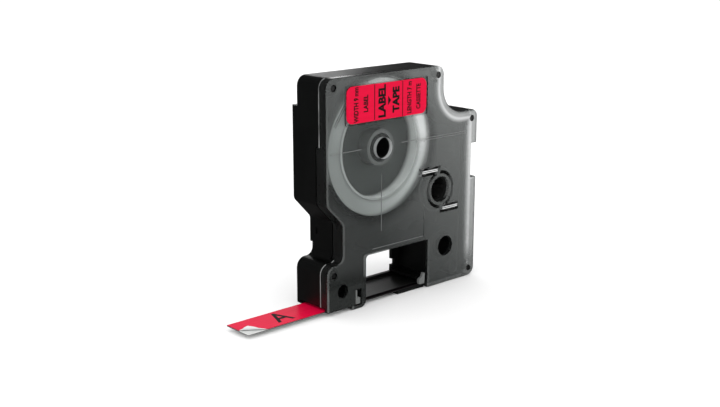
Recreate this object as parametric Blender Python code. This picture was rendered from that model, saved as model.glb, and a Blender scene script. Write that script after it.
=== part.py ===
"""Label tape cassette: black rear case, smoky front cover, label tape and ink ribbon on spools.

The cassette stands on its narrow lower edge, with its front cover facing -Y. All sizes are drawn from a
datum at the left side of the case (X), the cover's front face (Y) and the label tape's top face (Z). The
datum empty then puts the middle of the whole part's footprint at the world origin.
"""

import math

import bmesh
import bpy
from mathutils import Vector

MM = 0.001
GAP = 0.3 * MM

# Case
CASE_WIDTH = 58.66 * MM
CASE_TOP = 63.4 * MM
CASE_FOOT = -1.5 * MM
CASE_DEPTH = 14.4 * MM
WALL = 0.9 * MM
REAR_WALL = 1.2 * MM
PARTING = 2.9 * MM
EDGE_EASE = 0.15 * MM
LOW_PARTING = 4.5 * MM
LOW_PARTING_TOP = 45.0 * MM
LOW_PARTING_FOOT = 13.3 * MM
HEAD_RIGHT = 44.2 * MM
SHOULDER_TOP = 49.4 * MM
SHOULDER_RADIUS = 7.7 * MM
SIDE_NOTCH = (56.4 * MM, 29.1 * MM, 39.3 * MM)
TOP_STEP_FOOT = 55.3 * MM
TOP_STEP_DEPTH = 12.0 * MM
BLOCK_TOP = 12.7 * MM
BLOCK_DEPTH = 13.1 * MM
BLOCK_STEP_TOP = 16.3 * MM
BLOCK_FOOT = -0.5 * MM
RECESS_X = 5.68 * MM
RECESS_TOP = 23.4 * MM
SLANT_TOP = 29.4 * MM
FOOT_LEFT = 9.0 * MM
WINDOW_LEFT = 14.4 * MM
WINDOW_RIGHT = 38.6 * MM
WINDOW_TOP = 13.1 * MM
GUIDE_BAR = (35.1 * MM, 1.5 * MM, 2.3 * MM)
REST_TAB_LEFT = 27.8 * MM

# Cover
PLATE = 1.1 * MM
CORNER_INSET = 2.5 * MM
BOSS_RADIUS = 2.3 * MM
PEG_RADIUS = 0.65 * MM
PEG_HOLE_RADIUS = 0.95 * MM
LOCATOR = (5.5 * MM, 4.85 * MM)
LOCATOR_RADIUS = 1.9 * MM
SPINDLE_HOLE_RADIUS = 3.0 * MM
RING_OUTER = 4.65 * MM
RING_INNER = 3.8 * MM
RING_GAP = 0.95 * MM
ARM_OFFSET = 5.9 * MM
ARM_LENGTH = 7.8 * MM
ARM_THICKNESS = 0.8 * MM
ARM_SINK = 0.15 * MM
COVER_RIBS = [
    ((3.8 * MM, 50.2 * MM), (7.4 * MM, 55.4 * MM)),
    ((11.3 * MM, 60.8 * MM), (15.6 * MM, 61.5 * MM)),
]
LABEL_BOX = (7.0 * MM, 50.7 * MM, 36.9 * MM, 60.7 * MM)
LABEL_RADIUS = 2.0 * MM
LABEL_THICKNESS = 0.15 * MM
RECESS_DEPTH = 0.45 * MM
GROOVE_WIDTH = 0.18 * MM
GROOVE_DEPTH = 0.12 * MM

# Label tape
TAPE_WIDTH = 9.4 * MM
TAPE_FRONT = 1.4 * MM
TAPE_THICKNESS = 0.15 * MM
LINER_GAP = 0.06 * MM
TAIL_END = -25.7 * MM
RUN_START = 49.6 * MM
HUB = (20.75 * MM, 42.7 * MM)
ROLL_RADIUS = 19.2 * MM
ROLL_BORE = 14.8 * MM
CORE_RIM = 0.6 * MM
CORE_WEB = 5.1 * MM
CORE_WEB_THICKNESS = 1.0 * MM
FRONT_DISC_RADIUS = 13.8 * MM
REAR_DISC_RADIUS = 17.0 * MM
DISC_THICKNESS = 0.12 * MM
PEEL_END_Y = 5.9 * MM
PEEL_SIDE_X = -19.0 * MM
PEEL_SHARE = 0.36
PEEL_BEND = 0.35 * MM
PEEL_ANGLE = math.radians(150.0)
UPPER_ROLLER = (50.6 * MM, 43.2 * MM)
LOWER_ROLLER = (50.6 * MM, 2.0 * MM)
TAPE_ROLLER_RADIUS = 1.7 * MM

# Ink ribbon
RIBBON_FRONT = 1.45 * MM
RIBBON_WIDTH = 10.0 * MM
RIBBON_THICKNESS = 0.1 * MM
SUPPLY = (45.7 * MM, 10.0 * MM)
SUPPLY_RADIUS = 5.7 * MM
TAKEUP = (43.2 * MM, 27.5 * MM)
TAKEUP_RADIUS = 5.2 * MM
FLANGE_RADIUS = 6.8 * MM
ENTRY_PIN = (41.2 * MM, 1.6 * MM)
PEEL_PIN = (10.9 * MM, 1.6 * MM)
STEEL_PIN_RADIUS = 0.6 * MM
RETURN_ROLLER = (11.2 * MM, 16.2 * MM)
RETURN_RADIUS = 1.2 * MM
RETURN_WALL_LENGTH = 11.5 * MM
RETURN_WALL_SLOPE = 0.33
RETURN_WALL_BEND = 0.004 / MM

TAPE_BACK = TAPE_FRONT + TAPE_WIDTH
RIBBON_BACK = RIBBON_FRONT + RIBBON_WIDTH
CASE_FRONT = PARTING + 0.5 * GAP
COVER_BACK = PARTING - 0.5 * GAP
INNER_REAR = CASE_DEPTH - REAR_WALL
POST_RADIUS = 3.7 * MM
PIN_RADIUS = 0.5 * MM
FAR = 80.0 * MM

OUTLINE = [
    (0.0, CASE_TOP, 2.8 * MM),
    (0.0, SLANT_TOP, 2.0 * MM),
    (RECESS_X, RECESS_TOP, 1.5 * MM),
    (RECESS_X, BLOCK_TOP, 2.2 * MM),
    (0.0, BLOCK_TOP, 2.8 * MM),
    (0.0, BLOCK_FOOT, 0.7 * MM),
    (FOOT_LEFT, BLOCK_FOOT, 0.2 * MM),
    (FOOT_LEFT, CASE_FOOT, 0.65 * MM),
    (WINDOW_LEFT, CASE_FOOT, 1.9 * MM),
    (WINDOW_LEFT, WINDOW_TOP, 1.0 * MM),
    (WINDOW_RIGHT, WINDOW_TOP, 0.5 * MM),
    (WINDOW_RIGHT, CASE_FOOT, 0.5 * MM),
    (CASE_WIDTH, CASE_FOOT, 2.6 * MM),
    (CASE_WIDTH, SIDE_NOTCH[1], 0.3 * MM),
    (SIDE_NOTCH[0], SIDE_NOTCH[1], 0.2 * MM),
    (SIDE_NOTCH[0], SIDE_NOTCH[2], 0.2 * MM),
    (CASE_WIDTH, SIDE_NOTCH[2], 0.3 * MM),
    (CASE_WIDTH, SHOULDER_TOP, 2.0 * MM),
    (HEAD_RIGHT, SHOULDER_TOP, SHOULDER_RADIUS),
    (HEAD_RIGHT, CASE_TOP, 2.4 * MM),
]

ARROW_MARK = [(9.4 * MM, 19.6 * MM), (11.6 * MM, 20.8 * MM), (11.6 * MM, 18.8 * MM)]
EJECTOR_MARKS = [
    (8.0 * MM, 26.0 * MM),
    (33.5 * MM, 24.0 * MM),
    (52.5 * MM, 42.0 * MM),
    (53.5 * MM, 8.0 * MM),
    (8.0 * MM, 47.0 * MM),
]

PEGS = [
    (CORNER_INSET, CASE_TOP - CORNER_INSET, TOP_STEP_DEPTH),
    (HEAD_RIGHT - CORNER_INSET, CASE_TOP - CORNER_INSET, TOP_STEP_DEPTH),
    (CASE_WIDTH - CORNER_INSET, SHOULDER_TOP - CORNER_INSET, CASE_DEPTH),
    (CASE_WIDTH - CORNER_INSET, CASE_FOOT + CORNER_INSET, CASE_DEPTH),
    (CORNER_INSET, BLOCK_TOP - CORNER_INSET - 0.3 * MM, BLOCK_DEPTH),
]


# ---------------------------------------------------------------- outlines and paths

def rounded(corners, inset=0.0):
    """Points of a counter-clockwise outline with its corners rounded, moved inwards by inset."""
    points = []
    count = len(corners)
    for i, (x, z, radius) in enumerate(corners):
        corner = Vector((x, z))
        before = (corner - Vector(corners[i - 1][:2])).normalized()
        after = (Vector(corners[(i + 1) % count][:2]) - corner).normalized()
        cross = before.x * after.y - before.y * after.x
        turn = math.atan2(cross, before.dot(after))
        side = 1.0 if turn > 0.0 else -1.0
        steps = max(3, round(abs(turn) * (2.0 + 1.2 * math.sqrt(radius / MM))))
        left_before = Vector((-before.y, before.x))
        left_after = Vector((-after.y, after.x))
        moved = corner + inset * (left_before + left_after) / (1.0 + left_before.dot(left_after))
        bend = max(radius - side * inset, 0.05 * MM)
        start = moved - before * bend * math.tan(abs(turn) / 2.0)
        centre = start + left_before * side * bend
        for k in range(steps + 1):
            angle = turn * k / steps
            arm = -left_before * side * bend
            points.append((
                centre.x + arm.x * math.cos(angle) - arm.y * math.sin(angle),
                centre.y + arm.x * math.sin(angle) + arm.y * math.cos(angle),
            ))
    return points


def rectangle(x0, z0, x1, z1, radius):
    """Corners of a rectangle, counter-clockwise."""
    return [(x0, z0, radius), (x1, z0, radius), (x1, z1, radius), (x0, z1, radius)]


def circle(centre, radius, steps):
    """Points of a circle, counter-clockwise."""
    return [
        (
            centre[0] + radius * math.cos(2.0 * math.pi * k / steps),
            centre[1] + radius * math.sin(2.0 * math.pi * k / steps),
        )
        for k in range(steps)
    ]


def belt(stations, steps=10):
    """Points of a film led round circles, in its direction of travel.

    Each station is ((x, z), radius, side): side is 1 where the circle lies left of the film and -1 where
    it lies right. A station of radius 0 is a plain end point.
    """
    headings = []
    for (c0, r0, s0), (c1, r1, s1) in zip(stations, stations[1:]):
        across = Vector(c1) - Vector(c0)
        heading = math.atan2(across.y, across.x) + math.asin((s0 * r0 - s1 * r1) / across.length)
        headings.append(heading)
    points = []
    for i, (centre, radius, side) in enumerate(stations):
        arriving = headings[max(i - 1, 0)]
        leaving = headings[min(i, len(headings) - 1)]
        turn = math.remainder(leaving - arriving, 2.0 * math.pi)
        count = steps if radius and abs(turn) > 0.01 else 0
        for k in range(count + 1):
            heading = arriving + turn * (k / count if count else 0.0)
            points.append((
                centre[0] + side * radius * math.sin(heading),
                centre[1] - side * radius * math.cos(heading),
            ))
    return points


def wound_end(centre, radius, side, heading, angle, steps=8):
    """Points of a film that stays on a circle for an angle after arriving there on a heading."""
    points = []
    for k in range(1, steps + 1):
        now = heading + side * angle * k / steps
        points.append((
            centre[0] + side * radius * math.sin(now),
            centre[1] - side * radius * math.cos(now),
        ))
    return points


# ---------------------------------------------------------------- solids

def make_object(name, mesh_builder):
    """A new object whose mesh is made by mesh_builder(bm), closed and facing out, on the datum."""
    bm = bmesh.new()
    mesh_builder(bm)
    bmesh.ops.recalc_face_normals(bm, faces=bm.faces[:])
    mesh = bpy.data.meshes.new(name)
    bm.to_mesh(mesh)
    bm.free()
    obj = bpy.data.objects.new(name, mesh)
    bpy.context.collection.objects.link(obj)
    obj.parent = DATUM
    return obj


def loft(name, sections):
    """A solid through sections (y, points), each with the same number of points."""
    def build(bm):
        rings = []
        for y, points in sections:
            rings.append([bm.verts.new((x, y, z)) for x, z in points])
        for ring, following in zip(rings, rings[1:]):
            for i in range(len(ring)):
                bm.faces.new((ring[i - 1], ring[i], following[i], following[i - 1]))
        bm.faces.new(rings[0])
        bm.faces.new(rings[-1])
    return make_object(name, build)


def prism(name, points, y0, y1):
    """A straight solid between two depths."""
    return loft(name, [(y0, points), (y1, points)])


def block(name, x0, x1, y0, y1, z0, z1):
    """A plain box."""
    return prism(name, [(x0, z0), (x1, z0), (x1, z1), (x0, z1)], y0, y1)


def wedge(name, corners, x0, x1):
    """A straight solid along X, from corners (y, z)."""
    def build(bm):
        rings = [[bm.verts.new((x, y, z)) for y, z in corners] for x in (x0, x1)]
        for i in range(len(corners)):
            bm.faces.new((rings[0][i - 1], rings[0][i], rings[1][i], rings[1][i - 1]))
        for ring in rings:
            bm.faces.new(ring)
    return make_object(name, build)


def rod(name, centre, radius, y0, y1, steps=24):
    """A round rod along Y."""
    return prism(name, circle(centre, radius, steps), y0, y1)


def turned(name, centre, profile, steps=48):
    """A ring turned about a line along Y; profile is a closed list of (radius, y)."""
    def build(bm):
        rings = []
        for k in range(steps):
            angle = 2.0 * math.pi * k / steps
            rings.append([
                bm.verts.new((r * math.cos(angle), y, r * math.sin(angle))) for r, y in profile
            ])
        for k in range(steps):
            ring = rings[k]
            following = rings[(k + 1) % steps]
            for i in range(len(profile)):
                bm.faces.new((ring[i - 1], ring[i], following[i], following[i - 1]))
    obj = make_object(name, build)
    obj.location = (centre[0], 0.0, centre[1])
    return obj


def film(name, path, thickness, y0, y1):
    """A thin film whose middle follows a path in the XZ plane."""
    left = []
    right = []
    for i, point in enumerate(path):
        before = Vector(path[max(i - 1, 0)])
        after = Vector(path[min(i + 1, len(path) - 1)])
        along = (after - before).normalized()
        left.append((point[0] - along.y * thickness / 2.0, point[1] + along.x * thickness / 2.0))
        right.append((point[0] + along.y * thickness / 2.0, point[1] - along.x * thickness / 2.0))
    return prism(name, right + left[::-1], y0, y1)


def combine(target, tool, operation):
    """Add a Boolean to target; the tool itself isn't part of the cassette."""
    modifier = target.modifiers.new(tool.name, "BOOLEAN")
    modifier.operation = operation
    modifier.solver = "EXACT"
    modifier.object = tool
    tool.hide_render = True
    tool.display_type = "WIRE"


def cut(target, *tools):
    for tool in tools:
        combine(target, tool, "DIFFERENCE")


def add(target, *tools):
    for tool in tools:
        combine(target, tool, "UNION")


def finish(obj, material, smooth=True):
    """Give an object its material and shading."""
    obj.data.materials.append(material)
    if smooth:
        obj.data.shade_smooth()
        obj.data.set_sharp_from_angle(angle=math.radians(30.0))
    return obj


def principled(name, color, roughness, metallic=0.0, alpha=1.0):
    """A plain Principled material."""
    material = bpy.data.materials.new(name)
    material.use_nodes = True
    shader = material.node_tree.nodes["Principled BSDF"]
    shader.inputs["Base Color"].default_value = (*color, 1.0)
    shader.inputs["Roughness"].default_value = roughness
    shader.inputs["Metallic"].default_value = metallic
    shader.inputs["Alpha"].default_value = alpha
    return material


# ---------------------------------------------------------------- case and cover

def tape_slot(name, y0, y1):
    """The slot that the tape runs through, low in the case and the cover, and the ribbon's above it."""
    right = LOWER_ROLLER[0] + 2.6 * MM
    slot = block(name, -FAR, right, y0, y1, -0.55 * MM, 0.75 * MM)
    add(slot, block(name + "_ribbon", FOOT_LEFT + 0.6 * MM, right - MM, y0, y1, 0.0, 1.45 * MM))
    return slot


def window_region(name, y0, y1, margin):
    """The space round the print head window where the case's own walls reach up to the cover's plate."""
    reach = WALL + margin
    return block(
        name, WINDOW_LEFT - reach, WINDOW_RIGHT + reach, y0, y1, CASE_FOOT + 2.4 * MM - margin, WINDOW_TOP + reach
    )


def low_parting_region(name, y0, y1, margin):
    """The left side below the roll, where the cover's skirt is deeper."""
    return block(
        name, -FAR, RECESS_X + 2.0 * MM, y0, y1, LOW_PARTING_FOOT - margin, LOW_PARTING_TOP + margin
    )


def make_rear_case():
    outer = rounded(OUTLINE)
    case = loft("rear_case", [
        (CASE_FRONT, rounded(OUTLINE, EDGE_EASE)),
        (CASE_FRONT + EDGE_EASE, outer),
        (CASE_DEPTH - 0.6 * MM, outer),
        (CASE_DEPTH - 0.2 * MM, rounded(OUTLINE, 0.15 * MM)),
        (CASE_DEPTH, rounded(OUTLINE, 0.5 * MM)),
    ])
    cavity = prism("case_cavity", rounded(OUTLINE, WALL), 0.0, INNER_REAR)
    cut(
        cavity,
        block("cavity_top_step", -FAR, FAR, TOP_STEP_DEPTH - 0.8 * MM, FAR, TOP_STEP_FOOT - WALL, FAR),
        block(
            "cavity_block_step", -FAR, WINDOW_LEFT + WALL,
            BLOCK_DEPTH - REAR_WALL, FAR, -FAR, BLOCK_STEP_TOP + WALL,
        ),
    )
    cut(
        case,
        cavity,
        block("top_step", -FAR, FAR, TOP_STEP_DEPTH, FAR, TOP_STEP_FOOT, FAR),
        block("block_step", -FAR, WINDOW_LEFT, BLOCK_DEPTH, FAR, -FAR, BLOCK_STEP_TOP),
        low_parting_region("case_low_parting", 0.0, LOW_PARTING + 0.5 * GAP, 0.15 * MM),
        tape_slot("case_tape_slot", 0.0, RIBBON_BACK + 0.2 * MM),
    )
    add(case, make_window_walls())
    add_case_frame(case)
    add_case_posts(case)
    add_case_ribs(case)
    cut_case_marks(case)
    return finish(case, principled("black_case", (0.012, 0.012, 0.013), 0.32))


def make_window_walls():
    """The walls round the print head window, from the case's body up to the cover's plate."""
    walls = prism("window_walls", rounded(OUTLINE), PLATE + GAP, CASE_FRONT + 0.4 * MM)
    cut(walls, prism("window_walls_inside", rounded(OUTLINE, WALL), 0.0, FAR))
    combine(walls, window_region("window_walls_region", 0.0, FAR, 0.0), "INTERSECT")
    return walls


def add_case_frame(case):
    """The frame round the window's far side, the film's guide bar at its right and the rest tab below it."""
    front = BLOCK_DEPTH - 1.1 * MM
    rail = block("window_rail", WINDOW_LEFT - 1.0 * MM, WINDOW_RIGHT + 0.4 * MM,
                 front, BLOCK_DEPTH, CASE_FOOT, 1.5 * MM)
    rim = block("window_rim", 35.4 * MM, WINDOW_RIGHT + 0.4 * MM,
                front, BLOCK_DEPTH, CASE_FOOT + 1.0 * MM, WINDOW_TOP + 0.4 * MM)
    guide = block("guide_bar", GUIDE_BAR[0], WINDOW_RIGHT + 0.4 * MM, 1.6 * MM, front + 0.4 * MM,
                  GUIDE_BAR[1], GUIDE_BAR[2])
    tab_top = -2.0 * (TAPE_THICKNESS + LINER_GAP) - 0.24 * MM
    tab = block("rest_tab", REST_TAB_LEFT, WINDOW_RIGHT - GAP, 1.5 * MM, 7.0 * MM, CASE_FOOT, tab_top)
    tab_root = block("rest_tab_root", WINDOW_RIGHT - MM, WINDOW_RIGHT + 0.4 * MM, CASE_FRONT, 7.0 * MM,
                     CASE_FOOT, tab_top)
    add(case, rail, rim, guide, tab, tab_root)
    cut(case, block("rim_notch", 35.0 * MM, 36.6 * MM, front - MM, BLOCK_DEPTH + MM, 3.4 * MM, 5.3 * MM))


def add_case_posts(case):
    """Hollow spindle posts, corner posts with their pegs, and the rollers' pins."""
    front = PLATE + GAP
    behind = 0.4 * MM
    for name, centre, steps in (("hub_post", HUB, 40), ("supply_post", SUPPLY, 32)):
        add(case, rod(name, centre, POST_RADIUS, front, INNER_REAR + behind, steps))
        cut(case, rod(name + "_bore", centre, SPINDLE_HOLE_RADIUS, 0.0, FAR, steps))
    add(case, rod("locator_post", LOCATOR, LOCATOR_RADIUS + WALL, front,
                  BLOCK_DEPTH - REAR_WALL + behind))
    cut(case, rod("locator_bore", LOCATOR, LOCATOR_RADIUS, 0.0, FAR))
    cut(case, rod("takeup_bore", TAKEUP, 4.7 * MM, INNER_REAR - MM, FAR, 40))
    for i, (x, z, depth) in enumerate(PEGS):
        add(case, rod(f"corner_post_{i}", (x, z), BOSS_RADIUS - 0.1 * MM, CASE_FRONT, depth - 0.5 * MM))
        add(case, rod(f"peg_{i}", (x, z), PEG_RADIUS, 0.25 * MM, CASE_FRONT + MM, 16))
    pins = (
        ("upper_pin", UPPER_ROLLER, INNER_REAR),
        ("lower_pin", LOWER_ROLLER, INNER_REAR),
        ("return_pin", RETURN_ROLLER, BLOCK_DEPTH - REAR_WALL),
    )
    for name, centre, back in pins:
        add(case, rod(name, centre, PIN_RADIUS, front, back + behind, 12))


def arc_band(name, centre, radius, thickness, first, last, y0, y1, steps=16):
    """A thin curved wall about a centre, between two angles in degrees."""
    path = []
    for k in range(steps + 1):
        angle = math.radians(first + (last - first) * k / steps)
        path.append((centre[0] + radius * math.cos(angle), centre[1] + radius * math.sin(angle)))
    return film(name, path, thickness, y0, y1)


def add_case_ribs(case):
    """Thin walls that keep the roll and the returning ribbon in place."""
    front = PLATE + GAP
    back = INNER_REAR + 0.4 * MM
    add(case, arc_band("roll_wall", HUB, ROLL_RADIUS + 1.0 * MM, 0.8 * MM, 203.0, 262.0, front, back))
    path = []
    for k in range(11):
        along = RETURN_WALL_LENGTH * k / 10
        rise = RETURN_WALL_SLOPE * along + RETURN_WALL_BEND * along ** 2
        path.append((WINDOW_LEFT + 1.4 * MM + along, WINDOW_TOP + 1.5 * MM + rise))
    add(case, film("return_wall", path, 0.8 * MM, front, back))


def cut_case_marks(case):
    """Moulded marks: an arrow sunk in the wall of the left recess and ejector pin marks on the back."""
    cut(case, wedge("arrow_mark", ARROW_MARK, RECESS_X - MM, RECESS_X + 0.3 * MM))
    for i, (x, z) in enumerate(EJECTOR_MARKS):
        cut(case, rod(f"ejector_mark_{i}", (x, z), 1.5 * MM, CASE_DEPTH - 0.08 * MM, FAR, 28))


def make_front_cover():
    outer = rounded(OUTLINE)
    cover = loft("front_cover", [
        (0.0, rounded(OUTLINE, 0.55 * MM)),
        (0.1 * MM, rounded(OUTLINE, 0.28 * MM)),
        (0.33 * MM, rounded(OUTLINE, 0.08 * MM)),
        (0.7 * MM, outer),
        (COVER_BACK, outer),
    ])
    cut(cover, prism("cover_cavity", rounded(OUTLINE, WALL), PLATE, FAR))
    cut(cover, window_region("cover_window_clearance", PLATE, FAR, GAP))
    add(cover, make_low_skirt())
    for i, path in enumerate(COVER_RIBS):
        add(cover, film(f"cover_rib_{i}", path, 0.6 * MM, PLATE - 0.3 * MM, PLATE + 0.18 * MM))
    for i, (x, z, _) in enumerate(PEGS):
        add(cover, rod(f"boss_{i}", (x, z), BOSS_RADIUS, 0.5 * MM, COVER_BACK))
        cut(cover, rod(f"peg_hole_{i}", (x, z), PEG_HOLE_RADIUS, -MM, FAR, 20))
    cut(
        cover,
        rod("hub_hole", HUB, SPINDLE_HOLE_RADIUS, -MM, FAR, 40),
        rod("supply_hole", SUPPLY, SPINDLE_HOLE_RADIUS, -MM, FAR, 40),
        rod("locator_hole", LOCATOR, LOCATOR_RADIUS, -MM, FAR),
        make_ring_gap(),
        rod("ring_hole", TAKEUP, RING_INNER, -MM, FAR, 40),
        tape_slot("cover_tape_slot", PLATE + 0.2 * MM, FAR),
        block("upper_arm_sink", TAKEUP[0] - ARM_LENGTH, TAKEUP[0] - 0.6 * MM, -MM, ARM_SINK,
              TAKEUP[1] + ARM_OFFSET - MM, TAKEUP[1] + ARM_OFFSET + MM),
        block("lower_arm_sink", TAKEUP[0] + 0.6 * MM, TAKEUP[0] + ARM_LENGTH, -MM, ARM_SINK,
              TAKEUP[1] - ARM_OFFSET - MM, TAKEUP[1] - ARM_OFFSET + MM),
        block("clip_slot", 9.8 * MM, 12.4 * MM, -MM, PLATE + MM, -0.4 * MM, 4.3 * MM),
        prism("label_recess", rounded(rectangle(
            LABEL_BOX[0] - 0.3 * MM, LABEL_BOX[1] - 0.4 * MM,
            LABEL_BOX[2] + 0.5 * MM, LABEL_BOX[3] + 0.3 * MM, 0.5 * MM)), -MM, RECESS_DEPTH),
    )
    cut_grooves(cover)
    return finish(cover, principled("smoky_cover", (0.10, 0.11, 0.11), 0.18, alpha=0.6))


def make_low_skirt():
    """The deeper stretch of the cover's skirt, down the left side."""
    back = LOW_PARTING - 0.5 * GAP
    skirt = loft("low_skirt", [
        (PLATE - 0.4 * MM, rounded(OUTLINE, 0.02 * MM)),
        (back - EDGE_EASE, rounded(OUTLINE, 0.02 * MM)),
        (back, rounded(OUTLINE, EDGE_EASE)),
    ])
    cut(skirt, prism("low_skirt_cavity", rounded(OUTLINE, WALL), 0.0, FAR))
    combine(skirt, low_parting_region("low_skirt_region", 0.0, FAR, -0.15 * MM), "INTERSECT")
    return skirt


def make_ring_gap():
    """The gap that frees the sprung ring and its two arms from the cover's plate."""
    gap = rod("ring_gap", TAKEUP, RING_OUTER + RING_GAP, -MM, PLATE + MM, 48)
    for side in (1.0, -1.0):
        z = TAKEUP[1] + side * ARM_OFFSET
        reach = sorted((TAKEUP[0] + side * 0.1 * MM, TAKEUP[0] - side * ARM_LENGTH))
        half = 1.5 * ARM_THICKNESS
        add(gap, block(f"arm_slot_{side:+.0f}", reach[0], reach[1], -MM, PLATE + MM, z - half, z + half))
    cut(gap, rod("ring_body", TAKEUP, RING_OUTER, -2 * MM, FAR, 48))
    for side in (1.0, -1.0):
        z = TAKEUP[1] + side * ARM_OFFSET
        reach = sorted((TAKEUP[0] - side * 0.2 * MM, TAKEUP[0] - side * (ARM_LENGTH + MM)))
        half = 0.5 * ARM_THICKNESS
        web = sorted((TAKEUP[0] - side * 0.2 * MM, TAKEUP[0] - side * 1.4 * MM))
        foot = sorted((TAKEUP[1] + side * (RING_OUTER - 0.8 * MM), z + side * half))
        cut(
            gap,
            block(f"arm_{side:+.0f}", reach[0], reach[1], -2 * MM, FAR, z - half, z + half),
            block(f"arm_web_{side:+.0f}", web[0], web[1], -2 * MM, FAR, foot[0], foot[1]),
        )
    return gap


def cut_grooves(cover):
    """Fine moulded lines on the cover's face."""
    half = GROOVE_WIDTH / 2.0
    across = (
        (1.5 * MM, 12.4 * MM, HUB[1] + 0.7 * MM),
        (27.3 * MM, 54.0 * MM, HUB[1] + 0.7 * MM),
        (33.0 * MM, 54.0 * MM, HUB[1] + 0.1 * MM),
        (16.3 * MM, 36.4 * MM, WINDOW_TOP + 1.6 * MM),
    )
    upright = (
        (19.8 * MM, 19.2 * MM, 35.6 * MM),
        (36.6 * MM, 14.7 * MM, 24.0 * MM),
    )
    for i, (x0, x1, z) in enumerate(across):
        cut(cover, block(f"line_{i}", x0, x1, -MM, GROOVE_DEPTH, z - half, z + half))
    for i, (x, z0, z1) in enumerate(upright):
        cut(cover, block(f"upright_{i}", x - half, x + half, -MM, GROOVE_DEPTH, z0, z1))


# ---------------------------------------------------------------- label tape

def make_front_label():
    points = rounded(rectangle(*LABEL_BOX, LABEL_RADIUS))
    label = prism("front_label", points, 0.02 * MM, 0.02 * MM + LABEL_THICKNESS)
    return finish(label, principled("label_red", (0.88, 0.008, 0.05), 0.45), smooth=False)


def make_label_tape():
    """The straight run and free tail, with one corner curled up from the backing.

    The curl shows only a share of the corner that it takes up, as its tip is rolled in.
    """
    end_point = Vector((TAIL_END, PEEL_END_Y))
    side_point = Vector((PEEL_SIDE_X, TAPE_FRONT))
    corner = Vector((TAIL_END, TAPE_FRONT))
    along = (side_point - end_point).normalized()
    outward = Vector((along.y, -along.x))
    if outward.dot(corner - end_point) < 0.0:
        outward = -outward
    steps = 10

    def lifted(point):
        beyond = max(outward.dot(point - end_point), 0.0)
        distance = PEEL_SHARE * beyond
        angle = min(distance / PEEL_BEND, PEEL_ANGLE)
        rest = distance - angle * PEEL_BEND
        flat = PEEL_BEND * math.sin(angle) + rest * math.cos(angle)
        height = PEEL_BEND * (1.0 - math.cos(angle)) + rest * math.sin(angle)
        place = point + outward * (flat - beyond)
        return (place.x, place.y, height)

    def build(bm):
        flat = [(RUN_START, TAPE_FRONT), (RUN_START, TAPE_BACK), (TAIL_END, TAPE_BACK)]
        corners = [bm.verts.new((x, y, 0.0)) for x, y in flat]
        row = [bm.verts.new(lifted(end_point)), bm.verts.new(lifted(side_point))]
        bm.faces.new(corners + row)
        for k in range(1, steps):
            share = k / steps
            following = [
                bm.verts.new(lifted(end_point.lerp(corner, share))),
                bm.verts.new(lifted(side_point.lerp(corner, share))),
            ]
            bm.faces.new((row[0], following[0], following[1], row[1]))
            row = following
        bm.faces.new((row[0], bm.verts.new(lifted(corner)), row[1]))

    tape = make_object("label_tape", build)
    normal_up = tape.data.polygons[0].normal.z > 0.0
    solidify = tape.modifiers.new("thickness", "SOLIDIFY")
    solidify.thickness = TAPE_THICKNESS
    solidify.offset = -1.0 if normal_up else 1.0
    return finish(tape, principled("tape_red", (0.88, 0.008, 0.05), 0.35))


def make_tape_liner():
    top = -TAPE_THICKNESS - LINER_GAP
    liner = block("tape_liner", TAIL_END, RUN_START, TAPE_FRONT, TAPE_BACK, top - TAPE_THICKNESS, top)
    return finish(liner, principled("liner_white", (0.82, 0.82, 0.80), 0.6), smooth=False)


def make_tape_supply_strand():
    """The tape from the roll, round the two rollers and back down to its straight run."""
    clear = GAP + TAPE_THICKNESS / 2.0
    on_roll = (HUB, ROLL_RADIUS + clear, -1)
    first = TAPE_ROLLER_RADIUS + clear
    end = ((RUN_START + GAP, LOWER_ROLLER[1] - first), 0.0, 1)
    start_angle = math.radians(78.0)
    start = (
        (HUB[0] + on_roll[1] * math.cos(start_angle), HUB[1] + on_roll[1] * math.sin(start_angle)), 0.0, 1
    )
    stations = [start, on_roll, (UPPER_ROLLER, first, -1), (LOWER_ROLLER, first, -1), end]
    strand = film("tape_supply_strand", belt(stations), TAPE_THICKNESS, TAPE_FRONT, TAPE_BACK)
    return finish(strand, principled("strand_white", (0.78, 0.78, 0.76), 0.5))


def make_tape_spool():
    """The hub, the wound tape and the slip discs on each side of it."""
    sleeve = POST_RADIUS + GAP
    boss = sleeve + 1.1 * MM
    rim = ROLL_BORE - 0.1 * MM
    web_back = CORE_WEB + CORE_WEB_THICKNESS
    core = turned("tape_core", HUB, [
        (sleeve, TAPE_FRONT), (boss, TAPE_FRONT), (boss, CORE_WEB), (rim - CORE_RIM, CORE_WEB),
        (rim - CORE_RIM, TAPE_FRONT), (rim, TAPE_FRONT), (rim, TAPE_BACK), (rim - CORE_RIM, TAPE_BACK),
        (rim - CORE_RIM, web_back), (boss, web_back), (boss, TAPE_BACK), (sleeve, TAPE_BACK),
    ], 64)
    finish(core, principled("core_grey", (0.30, 0.31, 0.31), 0.45))
    roll = turned("tape_roll", HUB, [
        (ROLL_BORE, TAPE_FRONT), (ROLL_RADIUS, TAPE_FRONT), (ROLL_RADIUS, TAPE_BACK), (ROLL_BORE, TAPE_BACK),
    ], 72)
    finish(roll, principled("roll_pale", (0.75, 0.75, 0.73), 0.6))
    places = (
        ("front_slip_disc", boss + 0.3 * MM, FRONT_DISC_RADIUS, CORE_WEB - DISC_THICKNESS - 0.05 * MM),
        ("rear_slip_disc", sleeve, REAR_DISC_RADIUS, TAPE_BACK + 0.08 * MM),
    )
    for name, inner, radius, y in places:
        disc = turned(name, HUB, [
            (inner, y), (radius, y), (radius, y + DISC_THICKNESS), (inner, y + DISC_THICKNESS),
        ], 60)
        finish(disc, principled(name + "_film", (0.10, 0.11, 0.11), 0.3))


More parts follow.
